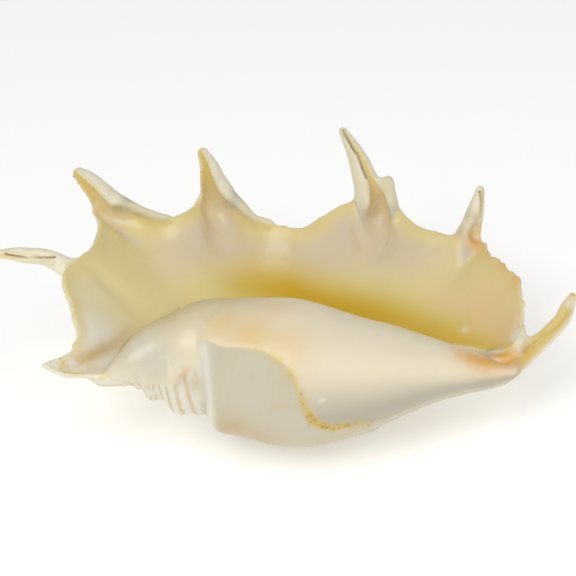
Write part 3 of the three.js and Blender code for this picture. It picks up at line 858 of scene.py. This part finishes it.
# %% Where the coloured places begin and end
ON_FINGER = (3, 1)
FINGER_LEAVES_LIP = (0.3, 0.5)
SMALL_TIP_RIM = 0.6
IN_CHANNEL = (1.2, 0.0)
THROAT_SHARES = (0.05, 0.3)
GOLDEN_SHARES = (0.25, 0.6)
CHANNEL_EDGE_FROM = (0.0, 0.5)
CHANNEL_EDGE_TO = (2.2, 1.0)
FINGER_WALL = (1.2, 2.4)
ON_FOLD = (1.6, 0.4)
ON_CANAL = (2.5, 1)
CANAL_BEGINS = (0, 0.15)
CANAL_WALL_BEGINS = (0.15, 0.35)
CANAL_SWING = (0.85, 1.12)
DEEP_WITHIN = 0.7
RIM_STRENGTH = 0.9
RIB_PAINT_SHARE = 1.2
FADES = {
    "on_sheet": [("sheet", 3.0, 1.0), ("from_edge", -9, -3)],
    "upper_side": [("above", -0.8, 1.2)],
    "looks_up": [("looks_up", 0.1, 0.4)],
    "underside": [("above", 0.5, -1.5), ("looks_up", 0.4, 0.1)],
    "off_sheet": [("sheet", 1.2, 3.5)],
    "off_edge": [("from_edge", 3.0, 0.5)],
    "on_body": [("body", 3.5, 1.5)],
    "inside_body": [("inward", 1.5, 4.5)],
    "lip_side": [("body", 0.6, 2.0)],
    "yellow": [("x", -66, -8)],
    "yellow_within": [("x", -75, -40)],
    "yellow_stops": [("body", 2.0, 0.5)],
    "deep": [("body", 0.5, 2.0)],
    "rim": [("from_edge", 2.0, 0.4), ("above", -3, 0)],
    "warm_rim": [("from_edge", 9, 1.5), ("y_less_x", -60, -30)],
    "lilac": [("from_edge", 2, 12), ("from_edge", 56, 14), ("x", -95, -45), ("x", 112, 62),
              ("y", 62, 90)],
    "smear": [("x", -26, -8), ("x", 46, 26), ("body", 2, 0.5), ("turn", 95, 115)],
    # The lower side of the body gets a darker grey: painted shade.
    "low": [("turn", 140, 185), ("turn", 300, 260), ("x", -15, 5)],
    "spire": [("x", -40, -46), ("turn", 60, 120)],
    "rib": [("turn", 103, 115), ("body", 4, 2)],
    # Painted shade lines on the bare spire.
    "cords": [("x", -44, -48), ("turn", 60, 120)],
}


# %% Masks
def path_mask(points, path, strengths, width):
    best = np.zeros(len(points))
    for start, end, low, high in zip(path[:-1], path[1:], strengths[:-1], strengths[1:]):
        start, end = np.array(start), np.array(end)
        step = end - start
        t = np.clip((points - start) @ step / (step @ step), 0, 1)
        gap = np.linalg.norm(points - start - t[:, None] * step, axis=1)
        best = np.maximum(best, (low + t * (high - low)) * np.exp(-(gap / width) ** 2))
    return best


def blob_mask(points, blobs):
    best = np.zeros(len(points))
    for x, y, z, size, strength in blobs:
        gap = np.linalg.norm(points - (x, y, z), axis=1)
        best = np.maximum(best, strength * np.exp(-(gap / size) ** 2))
    return best


def read_tube(points, tube):
    """A tube's distance, turn and share for all points; the far ones stay far away."""
    near = tube.near(points)
    read = np.zeros((3, len(points)))
    read[0] = FAR_AWAY
    read[:, near] = tube.read(points[near])
    return read


def finger_masks(points):
    """The channels' throats and golden upper parts, their rims, and the fingers' outside."""
    throat, golden, rim, outside = np.zeros((4, len(points)))
    channels = iter(CHANNEL_TUBES)
    for shares, tube in zip(CHANNEL_SHARES, FINGER_TUBES):
        skin, _, share = read_tube(points, tube)
        on_finger = smooth(*ON_FINGER, np.abs(skin)) * smooth(*FINGER_LEAVES_LIP, share)
        if shares is None:
            rim = np.maximum(rim, SMALL_TIP_RIM * on_finger)
            continue
        gap, _, along_channel = read_tube(points, next(channels))
        hollow = smooth(*IN_CHANNEL, gap)
        throat = np.maximum(throat, hollow * smooth(*THROAT_SHARES, along_channel))
        golden = np.maximum(golden, hollow * smooth(*GOLDEN_SHARES, along_channel))
        edge = smooth(*CHANNEL_EDGE_FROM, gap) * smooth(*CHANNEL_EDGE_TO, gap)
        rim = np.maximum(rim, edge * on_finger)
        outside = np.maximum(outside, smooth(*FINGER_WALL, gap) * on_finger)
    return throat, golden, rim, outside


def colour_masks(points, looks_up):
    x, y, z = points.T
    lift = z - axis_z(x)
    radius = np.hypot(y, lift)
    turn = np.degrees(np.arctan2(lift, y)) % 360
    sheet, above = lip_field(x, y, z)
    measures = {
        "x": x, "y": y, "y_less_x": y - x, "turn": turn, "above": above, "looks_up": looks_up,
        "body": np.abs(body_field(x, radius, turn)), "inward": BODY_CHART(x, turn) - radius,
        "sheet": np.abs(sheet), "from_edge": -LIP_AWAY(x, y),
    }

    def faded(name):
        """1 where all of a place's measures are past their fades, 0 where one is before its own."""
        return math.prod(smooth(low, high, measures[key]) for key, low, high in FADES[name])

    on_sheet = faded("on_sheet")
    top = np.maximum(faded("upper_side"), faded("looks_up")) * on_sheet
    within = faded("inside_body")
    off_sheet = np.maximum(faded("off_sheet"), faded("off_edge"))
    throat, golden, finger_rim, finger_outside = finger_masks(points)
    finger_outside *= off_sheet
    finger_rim *= off_sheet
    fold = smooth(*ON_FOLD, np.abs(read_tube(points, FOLD_TUBE)[0]))
    skin, swing, share = read_tube(points, CANAL_TUBE)
    on_canal = smooth(*ON_CANAL, np.abs(skin)) * smooth(*CANAL_BEGINS, share)
    canal = smooth(*CANAL_SWING[::-1], swing) * on_canal
    canal_outside = smooth(*CANAL_SWING, swing) * on_canal * smooth(*CANAL_WALL_BEGINS, share)
    glazed_body = glaze_on_body(x, turn, radius) * faded("on_body")
    glazed = np.maximum.reduce([top, glazed_body, within, fold, throat, canal])
    short_of_yellow = y - along(YELLOW_EDGE_X, YELLOW_EDGE_Y, x)
    yellow = smooth(YELLOW_FADE, -YELLOW_FADE, short_of_yellow) * faded("yellow") * top
    yellow *= 1 - faded("yellow_stops")
    winding = along(SEAM_X, SEAM_COUNT, x) - turn / 360
    # Painted shade: tan lines on the spire that follow the winding.
    cords = smooth(*SPIRE_SHADE_FADE, np.cos(2 * math.pi * SPIRE_SHADE_LINES * winding))
    past_glaze = np.radians(turn - along(GLAZE_X, GLAZE_TURN, x)) * radius
    past_seam = x - along(BODY_SEAM_TURN, BODY_SEAM_X, turn)
    from_rib = (past_seam - RIB_AFTER_SEAM) / (RIB_PAINT_SHARE * RIB_WIDTH)
    simple = {name: path_mask(points, *path) for name, path in PATHS.items()}
    simple |= {name: blob_mask(points, blobs) for name, blobs in PATCHES.items()}
    simple["deep"] = np.maximum(simple["deep"], DEEP_WITHIN * within) * faded("deep")
    return simple | {
        "glazed": glazed * (1 - finger_outside),
        "yellow": np.maximum(yellow, within * faded("yellow_within")),
        "canal": canal,
        "lip_side": np.maximum(top * faded("lip_side"), within),
        "rim": np.maximum(RIM_STRENGTH * faded("rim") * on_sheet, finger_rim),
        "warm_rim": faded("warm_rim") * top,
        "throat": throat,
        "channel": golden,
        "outside": np.maximum.reduce([finger_outside, canal_outside, on_sheet * faded("underside")]),
        "lilac": top * faded("lilac"),
        "smear": np.exp(-(past_glaze / SMEAR_WIDTH) ** 2) * faded("smear"),
        # painted shade on the lower side of the body
        "low": faded("low"),
        "spire": faded("spire"),
        "rib": np.exp(-from_rib ** 2) * faded("rib"),
        "cords": cords * faded("cords"),
        "wind": winding + turn / 180,
    }


def store(piece, masks):
    for name, values in masks.items():
        layer = piece.data.attributes.new(name, "FLOAT", "POINT")
        layer.data.foreach_set("value", np.ascontiguousarray(values, np.float32))


normals = np.empty(3 * len(places))
shell.data.vertices.foreach_get("normal", normals)
masks = colour_masks(places, normals[2::3])
store(shell, masks)
print("masks:", ", ".join(f"{name} {values.mean():.2f}" for name, values in masks.items()))

# %% [markdown]
# ## Paints
# Shader nodes are easier to read as sums than as boxes and wires. A wire object stands for
# one output, and adding or multiplying wires adds the Math nodes. Paints are given as the
# colour that an eye would name, from 0 to 255, and turned to the linear values of the shader.


# %% Shader maths as Python
def paint(red, green, blue):
    levels = [level / 255 for level in (red, green, blue)]
    linear = [c / 12.92 if c <= 0.04045 else ((c + 0.055) / 1.055) ** 2.4 for c in levels]
    return (*linear, 1)


WOBBLE = 0.0008
WOBBLE_SCALE = 200.0


class Wire:
    """One output of a shader node; arithmetic on it adds Math nodes."""

    def __init__(self, board, socket):
        self.board = board
        self.socket = socket

    def maths(self, operation, first, second):
        return self.board.node("ShaderNodeMath", {"operation": operation}, {0: first, 1: second})

    def __add__(self, other):
        return self.maths("ADD", self, other)

    def __sub__(self, other):
        return self.maths("SUBTRACT", self, other)

    def __rsub__(self, other):
        return self.maths("SUBTRACT", other, self)

    def __mul__(self, other):
        return self.maths("MULTIPLY", self, other)

    def __pow__(self, other):
        return self.maths("POWER", self, other)

    __radd__ = __add__
    __rmul__ = __mul__

    def spread(self, low, high):
        """0 at low and below, 1 at high and above, smooth in between."""
        settings = {"interpolation_type": "SMOOTHSTEP"}
        return self.board.node("ShaderNodeMapRange", settings, {0: self, 1: low, 2: high})


class Board:
    """A node tree of a material or of a modifier, filled from Python."""

    def __init__(self, tree):
        self.tree = tree
        self.shader = tree.nodes.get("Principled BSDF")

    def node(self, kind, settings=None, inputs=None, output=0):
        made = self.tree.nodes.new(kind)
        for name, value in (settings or {}).items():
            setattr(made, name, value)
        for key, value in (inputs or {}).items():
            if isinstance(value, Wire):
                self.tree.links.new(value.socket, made.inputs[key])
            else:
                made.inputs[key].default_value = value
        return Wire(self, made.outputs[output])

    def mask(self, name):
        return self.node("ShaderNodeAttribute", {"attribute_name": name}, output=2)

    def place(self):
        return self.node("ShaderNodeTexCoord", output=3)

    def noise(self, scale, detail=3.0, vector=None, roughness=0.55):
        inputs = {"Vector": vector or self.place(), "Scale": scale, "Detail": detail,
                  "Roughness": roughness}
        return self.node("ShaderNodeTexNoise", None, inputs)

    def line(self, path, width):
        """1 on a thin line through the shell's own space, fading out over the width."""
        places = to_rest(np.array(path, float)) * MM
        wobble = self.node("ShaderNodeTexNoise", None, {"Vector": self.place(),
                                                        "Scale": WOBBLE_SCALE}, 1)
        here = self.node("ShaderNodeVectorMath", {"operation": "MULTIPLY_ADD"},
                         {0: wobble, 1: (WOBBLE,) * 3, 2: self.place()})
        gaps = []
        for start, end in zip(places[:-1], places[1:]):
            step = end - start
            scaled = step / (step @ step)
            along_step = self.node("ShaderNodeVectorMath", {"operation": "DOT_PRODUCT"},
                                   {0: here, 1: tuple(scaled)}, 1) - float(start @ scaled)
            share = self.node("ShaderNodeClamp", None, {0: along_step})
            foot = self.node("ShaderNodeVectorMath", {"operation": "MULTIPLY_ADD"},
                             {0: share, 1: tuple(step), 2: tuple(start + WOBBLE / 2)})
            gaps.append(self.node("ShaderNodeVectorMath", {"operation": "DISTANCE"},
                                  {0: here, 1: foot}, 1))
        nearest = gaps[0]
        for gap in gaps[1:]:
            nearest = nearest.maths("MINIMUM", nearest, gap)
        return nearest.spread(width * MM, 0.0)

    def blend(self, amount, under, over):
        return self.node("ShaderNodeMix", {"data_type": "RGBA"}, {0: amount, 6: under, 7: over}, 2)

    def feed(self, name, value):
        if isinstance(value, Wire):
            self.tree.links.new(value.socket, self.shader.inputs[name])
        else:
            self.shader.inputs[name].default_value = value


# %% The shell's material
PAINTS = {name: paint(*levels) for name, levels in {
    "bare": (208, 200, 177), "bare_tan": (202, 180, 138), "wall": (250, 243, 216),
    "chalk": (240, 236, 222),
    "lip": (231, 215, 154), "pale": (236, 230, 214), "lilac": (220, 202, 174),
    "yellow": (221, 200, 108), "gold": (208, 167, 24), "rim": (240, 230, 190),
    "warm": (230, 210, 144), "channel": (232, 204, 112), "throat": (226, 208, 172),
    # The low grey is painted shade for the lower side of the body.
    "glaze": (238, 226, 198), "low": (182, 173, 155), "peach": (236, 207, 150),
    "pink": (232, 196, 148), "orange": (232, 172, 72), "crust": (212, 180, 84),
    # Painted shade: a darker tan in the fold where the lobe meets the spire.
    # The dark brown is painted shade in the narrow slits of the fingers.
    "spot": (178, 116, 48), "crease_shade": (190, 158, 98), "slit_shade": (112, 76, 30),
    # The greyer paint for the lower side of the fold is painted shade.
    # The valley tan is uneven tone on the finger walls, and painted shade in the lobe's furrow,
    # along its fold and in lines on the spire.
    "fold": (210, 191, 130), "valley": (206, 178, 124), "fold_shade": (214, 207, 190),
    "canal": (228, 202, 118),
}.items()}
LINES = {
    # Painted shade: a dark line along the same fold.
    "crease_shade": [(-87, 13.5, 1.5), (-84.3, 24.2, 1.8), (-78, 31, 2), (-67, 44.5, 1.2),
               (-56.9, 57.6, -0.4)],
    # Painted shade: dark lines in the narrow slits of the fingers.
    "slit_shade": [(29.6, 139.7, 58.8), (31.8, 137.2, 55.9), (34.4, 133.9, 52.3), (37.7, 131.1, 48.3),
             (39.8, 127.3, 43.7), (42, 124.1, 38.8)],
    "low_slit": [(-148.2, 71.2, 25.3), (-143.5, 70.5, 24.6), (-137, 69.6, 23.9),
                 (-130.3, 69.5, 24), (-122.4, 69.4, 24.7)],
    "right_slit": [(102.1, 105.4, 42), (102.7, 101, 36.5), (103.3, 99, 30.3), (102.9, 96.9, 24.6)],
    "canal": [(116.9, 9.3, 1.2), (125.5, 17.7, 5.9), (132.4, 22.7, 8.6), (139.8, 27.1, 11.8),
              (145.2, 32.6, 15.5)],
    "flake": [(113.8, 10.6, 3.4), (116.4, 13.6, 6.9), (119.1, 17.3, 10), (121, 24, 12)],
}

CLOUD_SCALE = 22.0
FINE_SCALE = 160.0
GRAIN_SCALE = 900.0
GROWTH_LINES = 42.0
LINES_SWAY = 0.6
GLAZE_ROUGHNESS = 0.27
BARE_ROUGHER = 0.27
UNEVEN_ROUGHNESS = 0.08
SHELL_IOR = 1.5
BUMP_DISTANCE = 0.00035
BUMP_STRENGTH = 0.5


def shell_material():
    material = bpy.data.materials.new("shell")
    material.use_nodes = True
    board = Board(material.node_tree)
    mask = board.mask

    def layers(under, rows):
        """Paints each row's colour over what lies under it, by the row's amount."""
        for amount, over in rows:
            under = board.blend(amount, under, PAINTS[over])
        return under

    cloud = board.noise(CLOUD_SCALE, 3)
    fine = board.noise(FINE_SCALE, 4)
    grain = board.noise(GRAIN_SCALE, 2)
    lines = board.noise(1.0, 2, board.node("ShaderNodeCombineXYZ", None,
                                           {0: mask("wind") * GROWTH_LINES,
                                            1: cloud * LINES_SWAY}))
    walls = layers(PAINTS["wall"], [(fine.spread(0.45, 0.75) * 0.25, "valley")])
    outside = layers(PAINTS["bare"], [
        (lines.spread(0.5, 0.8) * cloud * 0.4, "bare_tan"),
        (cloud.spread(0.45, 0.75) * 0.35, "bare_tan"),
        (mask("spire") * 0.75, "chalk"),
    ])
    outside = board.blend(mask("outside") * 0.8, outside, walls)
    glazed = layers(PAINTS["glaze"], [
        # painted shade: a darker grey over the lower side of the body
        (mask("low") * 0.9, "low"),
        (mask("peach"), "peach"),
        (mask("lip_side"), "lip"),
        (mask("lilac") * (0.55 + cloud * 0.6), "lilac"),
        (mask("pale"), "pale"),
        (mask("pink") * (0.5 + cloud * 0.8), "pink"),
        (mask("yellow") * 0.95, "yellow"),
        (mask("deep"), "gold"),
        (mask("warm_rim") * (0.4 + fine * 0.6), "warm"),
        (mask("fold_warm"), "fold"),
        # painted shade on the lower side of the fold
        (mask("fold_shade"), "fold_shade"),
        (mask("throat") * 0.8, "throat"),
        (mask("channel") * 0.9, "channel"),
        # painted shade along the furrow of the lobe
        (mask("valley"), "valley"),
        (mask("canal") * 0.9, "canal"),
    ])
    # painted shade: dark lines in the fingers' narrow slits
    slits = [(board.line(LINES[name], 1.3) * 0.95, "slit_shade")
             for name in ("slit_shade", "low_slit", "right_slit")]
    skin = layers(board.blend(mask("glazed"), outside, glazed), [
        # painted shade: tan lines over the bare spire
        (mask("cords") * (1 - mask("glazed")) * cloud, "valley"),
        (mask("rim"), "rim"),
        (mask("tan"), "bare_tan"),
        # painted shade in the fold where the lobe meets the spire: a darker tan and a line
        (mask("crease_shade") * 0.5, "crease_shade"),
        (board.line(LINES["crease_shade"], 2.2) * 0.8, "valley"),
        (mask("orange_band"), "orange"),
        (mask("orange"), "orange"),
        (board.line(LINES["canal"], 2.4) * 0.8, "crust"),
        # the same dark paint at half strength draws a thin line along the curled flake by the canal
        (board.line(LINES["flake"], 1.0) * 0.5, "slit_shade"),
        *slits,
        (mask("chalk") * fine.spread(0.35, 0.6), "chalk"),
        (mask("rib") * 0.8, "chalk"),
        (mask("smear") * fine.spread(0.3, 0.7) * 0.75, "yellow"),
        (mask("crust") * fine.spread(0.25, 0.55), "crust"),
        (mask("spot") * fine.spread(0.2, 0.5), "spot"),
        (mask("grain") * mask("crust").spread(0.02, 0.2), "crust"),
    ])
    board.feed("Base Color", skin)
    dull = 1 - mask("glazed")
    board.feed("Roughness", GLAZE_ROUGHNESS + dull * BARE_ROUGHER + fine * UNEVEN_ROUGHNESS)
    board.feed("IOR", SHELL_IOR)
    relief = grain * dull * 0.4 + fine * (0.12 + dull * 0.8) + lines * dull * 0.5
    bump = board.node("ShaderNodeBump", None, {"Height": relief, "Distance": BUMP_DISTANCE,
                                              "Strength": BUMP_STRENGTH})
    board.feed("Normal", bump)
    return material


shell.data.materials.append(shell_material())

# %% [markdown]
# ## Relief that follows the surface
# A grown shell is never quite even: it has faint swellings, growth lines that follow the
# winding, and an ochre crust of small grains where the glaze stops. All of them repeat over
# the surface, so a Geometry Nodes tree makes them from the same masks that place the colours.
# Its inputs have names, so each amount can be changed alone, and its seed is fixed.

# %% The relief tree
RELIEF = [
    ("Swelling height", "NodeSocketFloat", 0.0009),
    ("Growth line height", "NodeSocketFloat", 0.0005),
    ("Grain density", "NodeSocketFloat", 1500000.0),
    ("Grain size", "NodeSocketFloat", 0.00055),
    ("Seed", "NodeSocketInt", 7),
    ("Material", "NodeSocketMaterial", shell.data.materials[0]),
]
SWELLINGS_SCALE = 70.0
BREAKS_SCALE = 260.0
BREAKS_FADE = (0.42, 0.6)
CHALK_GRAINS = 0.12
GRAIN_SIZES = (0.45, 1.25)
GRAIN_POINTS = 12


def relief_tree():
    tree = bpy.data.node_groups.new("relief", "GeometryNodeTree")
    tree.interface.new_socket("Geometry", in_out="INPUT", socket_type="NodeSocketGeometry")
    tree.interface.new_socket("Geometry", in_out="OUTPUT", socket_type="NodeSocketGeometry")
    for name, kind, _ in RELIEF:
        tree.interface.new_socket(name, in_out="INPUT", socket_type=kind)
    board = Board(tree)
    node = board.node
    entry = tree.nodes.new("NodeGroupInput")
    given = {socket.name: Wire(board, socket) for socket in entry.outputs}

    def mask(name):
        return node("GeometryNodeInputNamedAttribute", {"data_type": "FLOAT"}, {"Name": name})

    bare = 1 - mask("glazed")
    swelling = board.noise(SWELLINGS_SCALE, 2.0, node("GeometryNodeInputPosition")) - 0.5
    wind = node("ShaderNodeCombineXYZ", None, {0: mask("wind") * GROWTH_LINES})
    growth = (board.noise(1.0, 2.0, wind) - 0.5) * bare
    height = swelling * given["Swelling height"] + growth * given["Growth line height"]
    move = node("ShaderNodeVectorMath", {"operation": "SCALE"},
                {0: node("GeometryNodeInputNormal"), 3: height})
    skin = node("GeometryNodeSetPosition", None, {"Geometry": given["Geometry"], "Offset": move})
    crust = mask("crust")
    breaks = board.noise(BREAKS_SCALE, 1.0, node("GeometryNodeInputPosition"))
    density = crust * crust * breaks.spread(*BREAKS_FADE) + mask("chalk") ** 4.0 * CHALK_GRAINS
    density *= given["Grain density"]
    points = node("GeometryNodeDistributePointsOnFaces", None,
                  {"Mesh": skin, "Density": density, "Seed": given["Seed"]})
    grain = node("GeometryNodeMeshIcoSphere", None,
                 {"Radius": given["Grain size"], "Subdivisions": 1})
    size = node("FunctionNodeRandomValue", {"data_type": "FLOAT"},
                {2: GRAIN_SIZES[0], 3: GRAIN_SIZES[1], "Seed": given["Seed"]}, 1)
    grains = node("GeometryNodeInstanceOnPoints", None,
                  {"Points": points, "Instance": grain, "Scale": size})
    grains = node("GeometryNodeStoreNamedAttribute", {"data_type": "FLOAT", "domain": "INSTANCE"},
                  {"Geometry": grains, "Name": "grain", "Value": 1.0})
    joined = tree.nodes.new("GeometryNodeJoinGeometry")
    tree.links.new(grains.socket, joined.inputs[0])
    tree.links.new(skin.socket, joined.inputs[0])
    solid = node("GeometryNodeRealizeInstances", None, {"Geometry": Wire(board, joined.outputs[0])})
    painted = node("GeometryNodeSetMaterial", None,
                   {"Geometry": solid, "Material": given["Material"]})
    tree.links.new(painted.socket, tree.nodes.new("NodeGroupOutput").inputs[0])
    return tree


# %% The relief on the shell
def apply_relief(piece):
    tree = relief_tree()
    modifier = piece.modifiers.new("relief", "NODES")
    modifier.node_group = tree
    identifiers = {item.name: item.identifier for item in tree.interface.items_tree}
    for name, _, value in RELIEF:
        modifier[identifiers[name]] = value
    depsgraph = bpy.context.evaluated_depsgraph_get()
    evaluated = piece.evaluated_get(depsgraph)
    mesh = bpy.data.meshes.new_from_object(evaluated, preserve_all_data_layers=True,
                                           depsgraph=depsgraph)
    piece.modifiers.clear()
    piece.data = mesh


before = len(shell.data.vertices)
apply_relief(shell)
shell.data.shade_smooth()
shell.data.calc_loop_triangles()
print("grains:", (len(shell.data.vertices) - before) // GRAIN_POINTS,
      "triangles in all:", len(shell.data.loop_triangles))

# %% [markdown]
# ## A bright table
# A pale floor that glows a little, a white world and two large lamps give soft, even light.
# The key lamp stands in front on the left and the weaker one on the right. The camera looks
# down at the shell's own plane by 35 degrees, from so far away that near and far fingers
# keep their true proportions.

# %% Floor, light and camera
FLOOR_SIZE = 6
FLOOR_WHITE = (0.96, 0.96, 0.96, 1)
FLOOR_GLOW = 0.27
WORLD_STRENGTH = 0.4

bpy.ops.mesh.primitive_plane_add(size=FLOOR_SIZE)
floor = bpy.context.object
floor.name = "floor"
pale = bpy.data.materials.new("floor")
pale.use_nodes = True
surface = pale.node_tree.nodes["Principled BSDF"].inputs
surface["Base Color"].default_value = FLOOR_WHITE
surface["Emission Color"].default_value = (1, 1, 1, 1)
surface["Emission Strength"].default_value = FLOOR_GLOW
floor.data.materials.append(pale)

world = bpy.data.worlds.new("studio")
world.use_nodes = True
world.node_tree.nodes["Background"].inputs["Color"].default_value = (1, 1, 1, 1)
world.node_tree.nodes["Background"].inputs["Strength"].default_value = WORLD_STRENGTH
bpy.context.scene.world = world
bpy.context.scene.view_settings.view_transform = "Standard"

CAMERA_RISE = math.radians(35)
CAMERA_DISTANCE = 1500
CAMERA_AIM = (0, 49.7, 18.6)
PHOTO_WIDTH = 300
SENSOR_WIDTH = 36
LAMP_AIM = (0, 0, 0.04)
LAMPS = [("key", (-0.5, -0.7, 1.2), 0.9, 9.2), ("fill", (0.9, -0.5, 0.8), 1.0, 3.3)]


def add_area(name, place, size, power):
    lamp = bpy.data.lights.new(name, "AREA")
    lamp.size = size
    lamp.energy = power
    light = bpy.data.objects.new(name, lamp)
    light.location = place
    direction = np.array(LAMP_AIM) - np.array(place)
    light.rotation_euler = Vector(direction).to_track_quat("-Z", "Y").to_euler()
    bpy.context.scene.collection.objects.link(light)


for lamp_values in LAMPS:
    add_area(*lamp_values)


def add_camera():
    aim = np.array([CAMERA_AIM], float)
    back = np.array([[0, -math.cos(CAMERA_RISE), math.sin(CAMERA_RISE)]])
    up = np.array([[0, math.sin(CAMERA_RISE), math.cos(CAMERA_RISE)]])
    place = to_rest(aim + back * CAMERA_DISTANCE)[0]
    target = to_rest(aim)[0]
    above = to_rest(aim + up * CAMERA_DISTANCE)[0] - target
    z = Vector(place - target).normalized()
    y = Vector(above).normalized()
    x = y.cross(z)
    camera = bpy.data.cameras.new("camera")
    camera.sensor_width = SENSOR_WIDTH
    camera.lens = SENSOR_WIDTH * CAMERA_DISTANCE / PHOTO_WIDTH
    holder = bpy.data.objects.new("camera", camera)
    turn = Matrix((x, y, z)).transposed().to_4x4()
    holder.matrix_world = Matrix.Translation(Vector(place * MM)) @ turn
    bpy.context.scene.collection.objects.link(holder)
    bpy.context.scene.camera = holder


add_camera()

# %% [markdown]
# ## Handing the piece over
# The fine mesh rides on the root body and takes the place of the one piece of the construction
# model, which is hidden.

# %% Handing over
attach(shell, "root")
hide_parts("shell")
